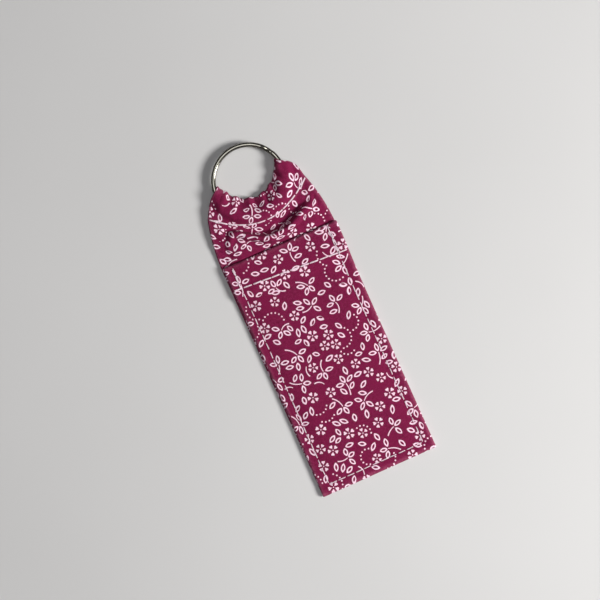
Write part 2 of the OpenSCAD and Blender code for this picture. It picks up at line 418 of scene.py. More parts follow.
def scatter_grid(low, high, spacing, rows_s, rows_t, motifs):
    """Inner points of a sheet: a jittered grid, and close rows beside edges and seams. All of them are kept
    clear of each other and of the motifs' edges."""
    draw = np.random.default_rng(SEED)
    found = []
    for row, t in enumerate(marks_between(low[1], high[1], spacing)[1:-1]):
        step = spacing(t)
        ss = np.arange(low[0] + step * (0.5 if row % 2 else 1.0), high[0], step)
        jitter = draw.uniform(-0.08, 0.08, (len(ss), 2)) * step
        found.append(np.column_stack([ss, np.full(len(ss), t)]) + jitter)
    for s, step in rows_s:
        tt = np.arange(low[1] + step / 2, high[1], step)
        found.append(np.column_stack([np.full(len(tt), s), tt]))
    for t, step, slope in rows_t:
        ss = np.arange(low[0] + step / 2, high[0], step)
        found.append(np.column_stack([ss, t + slope * ss]))
    points = np.vstack(found)
    inside = (points > np.array(low) + RIM_GAP) & (points < np.array(high) - RIM_GAP)
    taken = set()

    def place(p):
        return int(p[0] // POINT_CELL), int(p[1] // POINT_CELL)

    def take(i, j):
        taken.update((i + a, j + b) for a in (-1, 0, 1) for b in (-1, 0, 1))

    for shape, _ in motifs:
        for p in densified(shape, POINT_CELL):
            take(*place(p))
    kept = []
    for p in points[inside.all(axis=1)]:
        if place(p) not in taken:
            take(*place(p))
            kept.append(p)
    return np.array(kept)


def slab_side(bm, layers, sheet, side, half, wear_and_highlight, outline, inner, motifs):
    """One side's faces. Returns its vertices along the outline."""
    ink_layer, wear_and_highlight_layer, uv_layer = layers
    flat, tris, inked, rim = triangulated(outline, inner, motifs)
    s, t = flat.T
    p, n = sheet.at(s, t)
    p = p + n * (side * half(s, t))[:, None]
    verts = [bm.verts.new(q * MM) for q in p]
    # each point's lightening: faded cotton, and a painted highlight on edges and folds
    for v, worn_and_lit in zip(verts, wear_and_highlight(s, t)):
        v[wear_and_highlight_layer] = worn_and_lit
    for tri, ink in zip(tris, inked):
        a, b, c = (flat[i] for i in tri)
        turn = (b[0] - a[0]) * (c[1] - a[1]) - (b[1] - a[1]) * (c[0] - a[0])
        order = tri if (turn > 0) == (side > 0) else tri[::-1]
        try:
            face = bm.faces.new([verts[i] for i in order])
        except ValueError:                   # a sliver that repeats a face already made
            continue
        face[ink_layer] = ink
        for loop, i in zip(face.loops, order):
            loop[uv_layer].uv = (flat[i][0] + (UV_OF_BACK if side < 0 else 0), flat[i][1])
    return [verts[i] for i in rim]


def slab_edge(bm, uv_layer, outline, top, foot):
    """The faces round the edge, between the two sides. Where the edge is thick, its corners stay sharp."""
    for b in range(len(outline)):
        a = b - 1
        corners = [(top[b], b), (top[a], a), (foot[a], a), (foot[b], b)]
        face = bm.faces.new([v for v, _ in corners])
        cut_open = (top[a].co - foot[a].co).length > OPEN_EDGE * MM
        for edge in face.edges:
            if cut_open and set(edge.verts) in ({top[a], top[b]}, {foot[a], foot[b]}):
                edge.smooth = False
        for loop, (_, k) in zip(face.loops, corners):
            loop[uv_layer].uv = outline[k]


def cloth_slab(name, sheet, low, high, half, wear_and_highlight, prints, spacing, rows_s, rows_t):
    """A closed slab of cloth between two corners of a sheet. half(s, t) is its half-thickness, and the
    function after it says how much each point is lightened, partly as faded cotton and partly as a painted
    highlight on edges and folds.
    spacing(t) gives its points' spacing. prints holds the motifs of its two sides. rows_s and rows_t are the
    close rows of points along it and across it."""
    low, high = np.array(low), np.array(high)
    cut = [[(clipped(points, low, high), ink) for points, ink in side] for side in prints]
    cut = [[(points, ink) for points, ink in side if len(points) > 2 and area_of(points) > LEAST_INK]
           for side in cut]
    on_edge = [p for side in cut for points, _ in side for p in points
               if min(*np.abs(p - low), *np.abs(p - high)) < TINY]
    rows = marks_between(low[1], high[1], lambda t: 0.6 * spacing(t))
    outline = rectangle_outline(low, high, np.array(on_edge).reshape(-1, 2), rows, 0.5)
    bm = bmesh.new()
    layers = (bm.faces.layers.float.new("ink"), bm.verts.layers.float.new("wear_and_highlight"),
              bm.loops.layers.uv.new("FabricUV"))
    rims = []
    for side, motifs in zip((1, -1), cut):
        inner = scatter_grid(low, high, spacing, rows_s, rows_t, motifs)
        rims.append(slab_side(bm, layers, sheet, side, half, wear_and_highlight, outline, inner, motifs))
    slab_edge(bm, layers[2], outline, *rims)
    bmesh.ops.remove_doubles(bm, verts=bm.verts, dist=1e-8)
    bmesh.ops.dissolve_degenerate(bm, dist=1e-8, edges=bm.edges)
    piece = link(name, bm)
    piece.data.materials.append(cloth)
    return piece


# ---- the strip's course

COLUMNS = np.linspace(-HALF_W, HALF_W, 83)
LAYER_GAP = 0.01
BACK_MID = HALF_T + LAYER_GAP                # heights of the middles of the layers
FRONT_MID = BACK_MID + THICK + LAYER_GAP
HEM_MID = FRONT_MID + THICK + LAYER_GAP
TOP_LIMIT = 4.6                              # the middle of the neck and casing stays below this
SHARPEST = 0.72                              # least share of the flat distance between every other column
NECK_FLAT = 17.0                             # lengths of the neck and of the tail, laid flat
TAIL_FLAT = 2.4
GATHER = 5.7                                 # length of one gather along the casing's fold
STITCH_GAP = 0.43                            # half the distance between the casing's layers at its stitch
STITCH_MID = 1.95                            # middle of the front layer, where the casing is stitched


def arc_spaced(curve, left, right, count=400):
    """For each column, the point on a curve y(x) that keeps the columns evenly spaced along it."""
    x = np.linspace(left, right, count)
    y = curve(x)
    run = running(np.hypot(np.diff(x), np.diff(y)))
    want = (COLUMNS + HALF_W) / (2 * HALF_W) * run[-1]
    xs = np.interp(want, run, x)
    return np.column_stack([xs, curve(xs)])


def stitch_curve(x):
    """The casing stitch, across the strip: an arc that hangs below the ring."""
    return RING_Y - 13.8 + 0.0245 * x ** 2


def fold_curve(x):
    """The casing's top fold, before its gathers."""
    return RING_Y - 6.5 + 8.0 * (np.abs(x) / 11.8) ** 2


STITCH_AT = arc_spaced(stitch_curve, -17.7, 17.4)
FOLD_AT = arc_spaced(fold_curve, -11.5, 12.0)
gather_phase = Ripple(31, 17.0)
gather_size = Ripple(32, 11.0)
neck_creases = Ripple(33, 7.0, stretch=0.45)
wide_wave = Ripple(34, 42.0, stretch=1.3)
small_wave = Ripple(35, 13.0)


def gather_wave(s):
    """The gathers along the casing's fold, from -1 to 1."""
    return np.sin(math.tau * s / GATHER + 0.9 + 1.1 * gather_phase(s, 0)) * (0.85 + 0.3 * gather_size(s, 5))


def catmull(points, count):
    """A smooth curve through points, with count points evenly along it. points is (n, columns, 3)."""
    padded = np.concatenate([points[:1] * 2 - points[1:2], points, points[-1:] * 2 - points[-2:-1]])
    pieces = []
    for i in range(len(points) - 1):
        p0, p1, p2, p3 = padded[i:i + 4]
        u = np.linspace(0, 1, 12, endpoint=False)[:, None, None]
        pieces.append(0.5 * (2 * p1 + (p2 - p0) * u + (2 * p0 - 5 * p1 + 4 * p2 - p3) * u ** 2
                             + (3 * p1 - p0 - 3 * p2 + p3) * u ** 3))
    fine = np.concatenate(pieces + [points[-1:]])
    return evenly(fine, count)


def evenly(fine, count):
    """Each column's curve with count points, evenly along it."""
    run = np.concatenate([np.zeros((1, fine.shape[1])), np.cumsum(strides(fine), axis=0)])
    out = np.empty((count, fine.shape[1], 3))
    for j in range(fine.shape[1]):
        want = np.linspace(0, run[-1, j], count)
        for axis in range(3):
            out[:, j, axis] = np.interp(want, run[:, j], fine[:, j, axis])
    return out


def neck_rows(count):
    """The neck, from the pocket's mouth to the casing stitch. It rises out of the mouth, and its fullness
    makes a fold that hangs over below the stitch, deepest in the middle."""
    y_stitch = STITCH_AT[:, 1]
    depth = 1 - smooth(np.where(COLUMNS < 1, (-9.5 - COLUMNS) / 8.0, (COLUMNS - 11.5) / 8.0))
    crease = RING_Y - 19.0 + np.where(COLUMNS < 1, 0.040, 0.028) * (COLUMNS - 1) ** 2
    room = np.clip((y_stitch - crease) / 5.2, 0.3, 1.2)
    rise = 1.1 * (0.3 + 0.7 * smooth((HALF_W - 2 - np.abs(COLUMNS)) / 6))
    # out of the mouth: share of the flat neck, distance from the mouth, share of the rise
    out_of_mouth = [(0.00, 0.00, 0.00), (0.03, 0.30, 0.20), (0.08, 0.95, 1.00)]
    # the fold: share of the flat neck, distance from the crease, height
    fold = [(0.15, -2.40, 2.20), (0.24, -1.75, 2.95), (0.31, -1.25, 3.42), (0.37, -0.85, 3.55),
            (0.43, -0.45, 3.18), (0.50, -0.05, 2.35), (0.57, 0.40, 1.35), (0.65, 1.05, 0.68),
            (0.75, 2.05, 0.60), (0.85, 3.20, 1.00), (0.93, 4.20, 1.45)]
    rows = []

    def add(share, y, z):
        x = COLUMNS + (STITCH_AT[:, 0] - COLUMNS) * (0.25 * share + 0.75 * share ** 2.2)
        rows.append(np.column_stack([x, y, z]))

    for share, past_mouth, risen in out_of_mouth:
        add(share, np.full(len(COLUMNS), MOUTH + past_mouth), BACK_MID + rise * risen)
    for share, from_crease, high in fold:
        y = MOUTH + (y_stitch - MOUTH) * share
        z = BACK_MID + rise + (STITCH_MID - BACK_MID - rise) * smooth(share)
        folded = crease + from_crease * (room if from_crease > 0 else 1.0)
        add(share, y + (folded - y) * depth, z + (high - z) * depth)
    add(1.0, MOUTH + (y_stitch - MOUTH), BACK_MID + rise + (STITCH_MID - BACK_MID - rise))
    return creased(catmull(np.array(rows), count))


def creased(rows):
    """The neck's rows with small creases, which fade out towards its ends and sides."""
    share = np.linspace(0, 1, len(rows))[:, None]
    soft = np.sin(math.pi * share) ** 1.2 * (1 - 0.6 * smooth((np.abs(COLUMNS) - 15) / 5))
    soft = soft * smooth((share - 0.1) / 0.15)
    along = share * NECK_FLAT
    rows[:, :, 2] += 0.34 * soft * (neck_creases(COLUMNS * 0.8, along - 0.022 * COLUMNS ** 2) + 0.2)
    rows[:, :, 1] += 0.22 * soft * neck_creases(COLUMNS + 40, along)
    return rows


def casing_plan(u):
    """The casing seen from above, from its stitch at u 0 to its top fold at u 1: x, y and the way across."""
    stitch_x, stitch_y = STITCH_AT.T
    fold_x, fold_y = FOLD_AT.T
    phase = math.pi * COLUMNS / GATHER + 0.45 + 0.55 * gather_phase(COLUMNS, 0)
    scallop = 0.55 * (np.abs(np.sin(phase)) - 0.6)
    side = np.sign(COLUMNS)
    edge = smooth((np.abs(COLUMNS) - 9) / (HALF_W - 9))
    puff = np.where(side > 0, 1.7, 0.7) * edge * np.sin(math.pi * u ** 1.25)
    way = unit(FOLD_AT - STITCH_AT)
    x = stitch_x + (fold_x - stitch_x) * u + puff * np.abs(way[:, 1]) * side
    y = stitch_y + (fold_y + scallop - stitch_y) * u + puff * np.abs(way[:, 0])
    sway = 0.55 * gather_wave(COLUMNS) * smooth((u - 0.25) / 0.75)
    return x + sway * 0.5, y, way


def casing_rows(count, fold_count):
    """The casing: its front from the stitch over the wire, the gathered top fold, and its back under it."""
    u = np.linspace(0, 1, count)[:, None]
    x, y, way = casing_plan(u)
    from_wire = np.hypot(x, y - RING_Y) - WIRE_MID_R
    near = np.exp(-np.clip(np.abs(from_wire) - 0.75, 0, None) ** 2 / 3.2)
    near = near * smooth((12.6 + 2.2 - np.hypot(x * 0.94, y - RING_Y)) / 2.0)
    past_stitch = smooth(u / 0.35)
    middle = (STITCH_MID - STITCH_GAP) * (1 - past_stitch) + 1.5 * past_stitch
    half_gap = STITCH_GAP + (0.52 - STITCH_GAP) * u + 0.35 * smooth(u / 0.3) * smooth((1 - u) / 0.3)
    middle = middle + (WIRE_MID_Z - middle) * near
    half_gap = half_gap + (WIRE_HALF_Z + HALF_T + 0.04 - half_gap) * near
    gather = smooth((u - 0.12) / 0.75) * 0.40 * (1 - 0.75 * np.exp(-(from_wire / 1.1) ** 2))
    bulge = gather * gather_wave(COLUMNS)
    front = middle + half_gap + np.maximum(bulge, 0) * 0.95 + np.minimum(bulge, 0) * 0.9
    back = np.maximum(middle - half_gap + bulge * 0.55, BACK_MID)
    front = np.maximum(front, back + THICK + 0.03)
    front_rows, back_rows = np.stack([x, y, front], 2), np.stack([x, y, back], 2)
    centre = (front_rows[-1] + back_rows[-1]) / 2
    radius = (front[-1] - back[-1]) / 2
    angle = np.linspace(0, math.pi, fold_count)[1:-1, None]
    out = radius * np.sin(angle)
    turn = np.stack([centre[:, 0] + way[:, 0] * out, centre[:, 1] + way[:, 1] * out,
                     centre[:, 2] + radius * np.cos(angle)], 2)
    return front_rows, turn, back_rows[::-1]


def tail_rows(count, at_stitch):
    """The turned-under tail, from the casing stitch back under the neck."""
    u = np.linspace(0, 1, count)[1:, None]
    x = STITCH_AT[:, 0] * (1 + 0.02 * u)
    y = STITCH_AT[:, 1] - TAIL_FLAT * u * 0.96
    z = at_stitch[:, 2] + (BACK_MID - at_stitch[:, 2]) * smooth(u * 1.6)
    return np.stack([x, y, z], 2)


def smoothed(rows, start, stop):
    """Rows start to stop, evened out with their neighbours."""
    mid = rows[start:stop]
    rows[start:stop] = 0.5 * mid + 0.25 * (rows[start - 1:stop - 1] + rows[start + 1:stop + 1])
    rows[start:stop, 1:-1] = (0.5 * rows[start:stop, 1:-1]
                              + 0.25 * (rows[start:stop, :-2] + rows[start:stop, 2:]))
    return rows


def settle(p, a, b, rest, share=0.5, only_longer=False):
    """Moves grid points a and b of p, given as slices, towards their rest distance."""
    gap = p[b] - p[a]
    length = np.linalg.norm(gap, axis=2)
    off = (length - rest) / np.maximum(length, 1e-6)
    if only_longer:
        off = np.minimum(off, 0)
    move = gap * (share * off)[..., None]
    p[a] += move
    p[b] -= move


def stride_pairs(count, reach):
    """Start slices so that pairs (i, i + reach) in one slice never share a point."""
    step = 2 * reach
    return [(slice(k, count - reach, step), slice(k + reach, count, step)) for k in range(step)]


def hold(shape, stitches):
    """How strongly each grid point is pulled back to the course it was given."""
    held = np.zeros((*shape, 1))
    held[:2] = 1
    held[2:10] = np.linspace(0.6, 0.02, 8)[:, None, None]
    held[stitches] = 0.5
    held[:, [0, -1]] = np.maximum(held[:, [0, -1]], 0.25)
    return np.maximum(held, 0.0016)


def push_clear(p, in_front_of_tail, front_rows, back_rows):
    """Moves the cloth up off the floor and the tail, and the casing's two layers off the wire and apart."""
    x, y, z = p[..., 0], p[..., 1], p[..., 2]
    z[:] = np.maximum(z, BACK_MID)
    tail_top = BACK_MID + THICK * smooth((y - stitch_curve(x) + TAIL_FLAT + 1.2) / 1.2)
    z[:] = np.where(in_front_of_tail, np.maximum(z, tail_top), z)
    z[:] = np.minimum(z, TOP_LIMIT)
    reach = (np.hypot(x, y - RING_Y) - WIRE_MID_R) / (WIRE_W / 2 + HALF_T + 0.1)
    lift = (WIRE_HALF_Z + HALF_T + 0.05) * np.sqrt(np.clip(1 - reach ** 4, 0, 1))
    on_wire = np.abs(reach) < 1
    front, back = z[front_rows], z[back_rows]
    front[:] = np.where(on_wire[front_rows], np.maximum(front, WIRE_MID_Z + lift[front_rows]), front)
    back[:] = np.where(on_wire[back_rows], np.minimum(back, WIRE_MID_Z - lift[back_rows]), back)
    back[:] = np.maximum(back, BACK_MID)
    front += np.clip(THICK + 0.04 - (front - back[::-1]), 0, None) * 0.6


def relaxed(rows, first_neck, stitch, front_count, turn_count, rounds=260):
    """Lets the neck and the casing find their own wrinkles: the cloth is a little longer and wider than the
    course given, and is pushed clear of the floor, the wire and its other layer."""
    start = first_neck - 1
    p = rows[start:].copy()
    goal = p.copy()
    n, m = p.shape[:2]
    stitch -= start
    front_end = stitch + front_count
    back_start = front_end + turn_count
    stitch_back = back_start + front_count - 1
    index = np.arange(n)[:, None]
    in_neck = bump(index - stitch * 0.55, stitch * 0.45, 4)
    in_casing = smooth((index - stitch) / 6.0) * smooth((stitch_back - index) / 6.0)
    along = strides(p) * (1 + 0.075 * in_neck[:-1] + 0.03 * in_casing[:-1])
    flat_step = COLUMNS[1] - COLUMNS[0]
    across = strides(p, 1) * (1 + 0.06 * in_neck)
    across = across + in_casing * 0.55 * np.clip(flat_step - across, 0, 0.2 * flat_step)
    held = hold((n, m), [stitch, stitch_back])
    p[:, :, 2] += 0.05 * (in_neck + in_casing) * Ripple(41, 3.4)(COLUMNS, index * 0.2)
    t_pairs, s_pairs, wide_pairs = stride_pairs(n, 1), stride_pairs(m, 1), stride_pairs(m, 2)
    layers = slice(stitch, front_end), slice(back_start, stitch_back + 1)
    for _ in range(rounds):
        for a, b in t_pairs:
            settle(p, np.s_[a, :], np.s_[b, :], along[a])
        for a, b in s_pairs:
            settle(p, np.s_[:, a], np.s_[:, b], across[:, a])
        for a, b in wide_pairs:              # keeps a wrinkle from folding up too sharply
            settle(p, np.s_[:, a], np.s_[:, b], 2 * flat_step * SHARPEST, 0.15, True)
        p += (goal - p) * held
        push_clear(p, index < stitch, *layers)
    beside = p[:-2, 1:-1] + p[2:, 1:-1] + p[1:-1, :-2] + p[1:-1, 2:]
    p[1:-1, 1:-1] = 0.4 * p[1:-1, 1:-1] + 0.15 * beside
    rows[start:] = p
    return rows


def level(y_values, z_values):
    """Straight rows across the strip."""
    y, z = np.broadcast_arrays(y_values, z_values)
    flat = np.ones(len(COLUMNS))
    return np.stack([np.column_stack([COLUMNS, flat * row_y, flat * row_z]) for row_y, row_z in zip(y, z)])


def run_along(rows):
    """How far along the cloth each row lies: the mean over its columns."""
    return running(strides(rows).mean(axis=1))


def make_strip():
    """The strip's middle surface, and where along it each feature lies."""
    turn_r = (FRONT_MID - BACK_MID) / 2
    turn_y = BOTTOM + HALF_T + turn_r
    a = np.linspace(0, math.pi, 15)[1:-1]
    under_fold = level(np.linspace(BOTTOM_SEAM, turn_y, 6), FRONT_MID)
    bottom_turn = level(turn_y - turn_r * np.sin(a), BACK_MID + turn_r * (1 + np.cos(a)))
    panel = level(np.linspace(turn_y, MOUTH, 120), BACK_MID)
    neck = neck_rows(90)
    front, turn, back = casing_rows(34, 13)
    tail = tail_rows(9, back[-1])
    rows = np.concatenate([under_fold, bottom_turn, panel, neck[1:], front[1:], turn, back, tail])
    first_neck = len(under_fold) + len(bottom_turn) + len(panel)
    stitch = first_neck + len(neck) - 2
    rows = smoothed(rows, first_neck - 2, stitch + 20)
    rows = relaxed(rows, first_neck, stitch, len(front), len(turn))
    t = run_along(rows)
    steps = np.diff(t)
    steps[first_neck - 1:stitch] *= NECK_FLAT / (t[stitch] - t[first_neck - 1])
    t = running(steps)
    places = {"fold": len(under_fold) + len(bottom_turn) // 2, "mouth": first_neck - 1, "stitch": stitch,
              "top": stitch + len(front) - 1 + len(turn) // 2, "back_stitch": len(rows) - len(tail) - 1,
              "end": -1}
    return Sheet(COLUMNS, t, rows), {key: t[row] for key, row in places.items()}


def make_front():
    """The pocket's front and its hem: t runs from the bottom stitch up to the mouth, and back down inside."""
    turn_r = (HEM_MID - FRONT_MID) / 2
    turn_y = MOUTH - HALF_T - turn_r
    hem_end = turn_y - HEM_DEPTH + 0.8
    up = np.linspace(BOTTOM_SEAM, turn_y, 130)[:, None]
    down = np.linspace(turn_y, hem_end, 18)[1:, None]
    angle = np.linspace(0, math.pi, 15)[1:-1, None]
    s = COLUMNS[None]
    inside = smooth((SEAM_X - np.abs(s)) / 4.0)
    over_hem = smooth((up - (hem_end - 2.2)) / 2.0)
    open_up = smooth((up - BOTTOM_SEAM) / 6.0)
    puff = inside * open_up * (0.42 + 0.16 * wide_wave(s, up) + 0.05 * small_wave(s, up))
    pucker = 0.07 * bump(np.abs(s) - SEAM_X, 1.3) * np.sin(math.tau * up / PITCH + 0.6 * small_wave(0, up))
    z_up = (FRONT_MID + pucker * (1 - over_hem) + (HEM_MID - FRONT_MID) * over_hem
            + puff * (1 - 0.55 * over_hem))
    z_down = FRONT_MID + 0.45 * inside * np.ones_like(down)
    middle, radius = (z_up[-1] + z_down[0]) / 2, (z_up[-1] - z_down[0]) / 2
    z = np.concatenate([z_up, middle + radius * np.cos(angle), z_down])
    y = np.concatenate([up + 0 * s, turn_y + radius * np.sin(angle), down + 0 * s])
    near_mouth = smooth((y - (MOUTH - 26)) / 26)
    y = y - near_mouth * (0.5 * (s + HALF_W) / (2 * HALF_W)) + near_mouth * 0.25
    inset = (0.15 + 0.45 * smooth((y - BOTTOM) / 45)) * smooth((-s - 15) / 5.5)
    x = s + 0.45 * near_mouth * smooth((s - 12) / 8) + inset
    rows = np.stack([x, y, z], 2)
    t = run_along(rows)
    return Sheet(COLUMNS, t, rows), {"mouth": t[len(up) + len(angle) // 2], "end": t[-1]}


# ---- pieces

def link(name, bm):
    mesh = bpy.data.meshes.new(name)
    bmesh.ops.recalc_face_normals(bm, faces=bm.faces)
    bm.to_mesh(mesh)
    bm.free()
    for face in mesh.polygons:
        face.use_smooth = True
    return add_object(name, mesh)


def add_tube(bm, uv, rings, length, girth=1.0):
    """Faces round a run of rings of vertices, with caps. length and girth are its size in the UV map."""
    steps, around = len(rings) - 1, len(rings[0])
    for i in range(steps):
        for k in range(around):
            corners = [(i, k), (i, k + 1), (i + 1, k + 1), (i + 1, k)]
            face = bm.faces.new([rings[a][b % around] for a, b in corners])
            for loop, (a, b) in zip(face.loops, corners):
                loop[uv].uv = (a / steps * length, b / around * girth)
    bm.faces.new(rings[0][::-1])
    bm.faces.new(rings[-1])


def add_stitch(bm, uv, at, way, up, length, width, rise, dip):
    """One stitch: a thread that comes out of the cloth, lies along way and goes back in."""
    steps, around = 9, 8
    side = np.cross(up, way)
    rings = []
    for i in range(steps):
        v = -1 + 2 * i / (steps - 1)
        middle = at + way * (v * length / 2) + up * (rise - (rise + dip) * abs(v) ** 9)
        slim = 0.72 + 0.28 * math.sqrt(max(0, 1 - v ** 4))
        ring = []
        for a in (math.tau * k / around for k in range(around)):
            offset = side * (math.cos(a) * width / 2 * slim) + up * (math.sin(a) * width * 0.42 * slim)
            ring.append(bm.verts.new((middle + offset) * MM))
        rings.append(ring)
    add_tube(bm, uv, rings, length)


def stitch_row(name, sheet, side, half, path, pitch=PITCH, fill=0.88, width=0.32, seed=1, rise=0.16):
    """A row of stitches along path, [(s, t)], on one side of a sheet."""
    draw = np.random.default_rng(seed)
    path = np.asarray(path, float)
    flat_run = running(strides(path))
    fine = np.linspace(0, flat_run[-1], 1 + int(flat_run[-1] / 0.1))
    s = np.interp(fine, flat_run, path[:, 0])
    t = np.interp(fine, flat_run, path[:, 1])
    p, n = sheet.at(s, t)
    n = n * side
    p = p + n * half(s, t)[:, None]
    run = running(strides(p))
    count = max(1, round(run[-1] / pitch))
    step = run[-1] / count
    bm = bmesh.new()
    uv = bm.loops.layers.uv.new("ThreadUV")
    for i in range(count):
        middle = (i + 0.5) * step + draw.uniform(-0.05, 0.05) * pitch
        length = step * fill * draw.uniform(0.95, 1.05)
        ends = np.clip([middle - length / 2, middle + length / 2], 0, run[-1])
        a, b, at, up = (np.array([np.interp(x, run, grid[:, k]) for k in range(3)])
                        for x, grid in ((ends[0], p), (ends[1], p), (middle, p), (middle, n)))
        up = unit(up)
        way = b - a
        way = unit(way - up * way.dot(up))
        way = unit(way + np.cross(up, way) * draw.uniform(-0.04, 0.04))
        add_stitch(bm, uv, at, way, up, np.linalg.norm(b - a), width * draw.uniform(0.94, 1.06), rise, 0.30)
    return link(name, bm)


def wire_section(count=24, power=2.05):
    """The ring wire's crowned outline, as (across, up) from its middle."""
    def crowned(v, half):
        return math.copysign(abs(v) ** (2 / power), v) * half
    angles = [math.tau * i / count for i in range(count)]
    return [(crowned(math.cos(a), WIRE_W / 2), crowned(math.sin(a), WIRE_HALF_H)) for a in angles]


def make_ring():
    """One flat-sided wire wound twice round, with a climb where its two ends are cut."""
    end, climb = 39.0, 20.0                  # degrees: where the ends are, and the turn over which it climbs
    rise = 1.14
    low_z = WIRE_FOOT + WIRE_HALF_H
    first, last = end - 360 + climb / 2 + 0.4, end + 360 - climb / 2 - 0.4
    count = 480
    section = wire_section()
    bm = bmesh.new()
    uv = bm.loops.layers.uv.new("RingUV")
    rings = []
    for i in range(count + 1):
        a = first + (last - first) * i / count
        t = smooth((a - (end - climb / 2)) / climb)
        z = low_z + rise * t
        from_end = min(i, count - i) * (last - first) / count * math.radians(1) * WIRE_MID_R
        slim = 0.80 + 0.20 * math.sqrt(float(np.clip(from_end / 0.35, 0, 1)))
        c, s = math.cos(math.radians(a)), math.sin(math.radians(a))
        ring = []
        for across, up in section:
            r = WIRE_MID_R + across * slim
            ring.append(bm.verts.new(np.array([r * c, RING_Y + r * s, z + up * slim]) * MM))
        rings.append(ring)
    add_tube(bm, uv, rings, 148.0, 5.0)      # about the wire's length and girth
    return link("split_ring_wire", bm)


# ---- materials

class Nodes:
    """Adds nodes to a new material and wires them up."""

    def __init__(self, name):
        self.material = bpy.data.materials.new(name)
        self.material.use_nodes = True
        self.tree = self.material.node_tree
        self.shader = self.tree.nodes["Principled BSDF"]

    def add(self, kind, **settings):
        node = self.tree.nodes.new(kind)
        for key, value in settings.items():
            setattr(node, key, value)
        return node

    def wire(self, source, target):
        self.tree.links.new(source, target)

    def put(self, socket, value):
        if hasattr(value, "is_linked"):
            self.wire(value, socket)
        else:
            socket.default_value = value

    def look(self, name, value):
        """Sets one of the shader's sockets, or wires it up."""
        self.put(self.shader.inputs[name], value)

    def math(self, operation, a, b=0.0):
        node = self.add("ShaderNodeMath", operation=operation)
        self.put(node.inputs[0], a)
        self.put(node.inputs[1], b)
        return node.outputs[0]

    def times(self, a, b):
        return self.math("MULTIPLY", a, b)

    def mix(self, share, a, b):
        node = self.add("ShaderNodeMix", data_type="RGBA")
        self.put(node.inputs[0], share)
        self.put(node.inputs[6], a)
        self.put(node.inputs[7], b)
        return node.outputs[2]

    def noise(self, vector, scale, detail=2.0, roughness=0.5):
        node = self.add("ShaderNodeTexNoise")
        self.wire(vector, node.inputs["Vector"])
        node.inputs["Scale"].default_value = scale
        node.inputs["Detail"].default_value = detail
        node.inputs["Roughness"].default_value = roughness
        return node.outputs["Fac"]

    def ramp(self, value, low, high, start=0.0, stop=1.0):
        node = self.add("ShaderNodeMapRange")
        self.put(node.inputs[0], value)
        for i, number in enumerate((low, high, start, stop), 1):
            node.inputs[i].default_value = number
        return node.outputs[0]

    def bumped(self, height, distance, strength=1.0, under=None):
        node = self.add("ShaderNodeBump")
        node.inputs["Strength"].default_value = strength
        node.inputs["Distance"].default_value = distance
        self.wire(height, node.inputs["Height"])
        if under is not None:
            self.wire(under, node.inputs["Normal"])
        return node.outputs[0]


def srgb(r, g, b):
    """A colour as a screen shows it, made linear."""
    def linear(v):
        v /= 255
        return v / 12.92 if v <= 0.04045 else ((v + 0.055) / 1.055) ** 2.4
    return (linear(r), linear(g), linear(b), 1.0)


THREAD_PITCH = 0.36                          # of the cotton's weave


def cotton():
    """Printed plain-weave cotton: weave, with painted shade in the valleys between threads and paler fibre
    flecks that are partly a painted highlight; ink that misses the valleys between threads; and edges and
    folds lightened, partly as faded cotton and partly as a painted highlight.
    """
    n = Nodes("printed_cotton")
    uv = n.add("ShaderNodeUVMap", uv_map="FabricUV").outputs[0]
    split = n.add("ShaderNodeSeparateXYZ")
    n.wire(uv, split.inputs[0])
    wobble = n.times(n.noise(uv, 0.9), 0.35)
    across = n.times(n.math("ADD", split.outputs[0], wobble), math.pi / THREAD_PITCH)
    along = n.times(n.math("ADD", split.outputs[1], wobble), math.pi / THREAD_PITCH)
    warp = n.math("ABSOLUTE", n.math("SINE", across))
    weft = n.math("ABSOLUTE", n.math("SINE", along))
    over = n.math("GREATER_THAN", n.times(n.math("COSINE", across), n.math("COSINE", along)), 0.0)
    under = n.math("SUBTRACT", 1.0, over)
    thread = n.math("ADD", n.times(warp, over), n.times(weft, under))
    slub = n.noise(uv, 1.3, 4.0, 0.65)
    fibre = n.noise(uv, 14.0, 2.0)
    cloud = n.noise(uv, 0.13, 3.0)
    ground = n.mix(n.ramp(slub, 0.30, 0.72), srgb(99, 12, 50), srgb(146, 36, 83))
    ground = n.mix(n.ramp(cloud, 0.35, 0.70), ground, srgb(129, 23, 69))
    # painted shade: the colour darkens in the valleys between the weave's threads
    ground = n.mix(n.ramp(thread, 0.0, 0.55, 0.55, 0.0), ground, srgb(76, 8, 38))
    # paler fibre flecks: partly the cotton's own loose fibres, partly a painted highlight
    ground = n.mix(n.ramp(fibre, 0.54, 0.72, 0.0, 0.45), ground, srgb(170, 84, 112))
    ink_here = n.add("ShaderNodeAttribute", attribute_name="ink").outputs["Fac"]
    worn_and_lit = n.add("ShaderNodeAttribute", attribute_name="wear_and_highlight").outputs["Fac"]
    # lighter along edges, folds and the casing stitch: partly faded cotton, partly a painted highlight
    ground = n.mix(n.times(worn_and_lit, n.ramp(slub, 0.35, 0.65, 0.25, 0.85)), ground, srgb(172, 96, 124))
    ink_tone = n.mix(n.ramp(slub, 0.3, 0.7), srgb(255, 208, 230), srgb(255, 233, 246))
    cover = n.times(n.ramp(thread, 0.0, 0.30, 0.80, 1.0), n.ramp(fibre, 0.25, 0.45, 0.90, 1.0))
    colour = n.mix(n.times(ink_here, cover), ground, ink_tone)
    n.look("Base Color", colour)
    n.look("Roughness", n.ramp(thread, 0.0, 1.0, 0.96, 0.80))
    fine = n.bumped(thread, 0.00006, 0.9)
    fuzz = n.bumped(fibre, 0.00003, 0.6, fine)
    n.look("Normal", n.bumped(slub, 0.00008, 0.6, fuzz))
    n.look("Sheen Weight", 0.03)
    n.look("Sheen Roughness", 0.5)
    n.look("Specular IOR Level", 0.06)
    return n.material


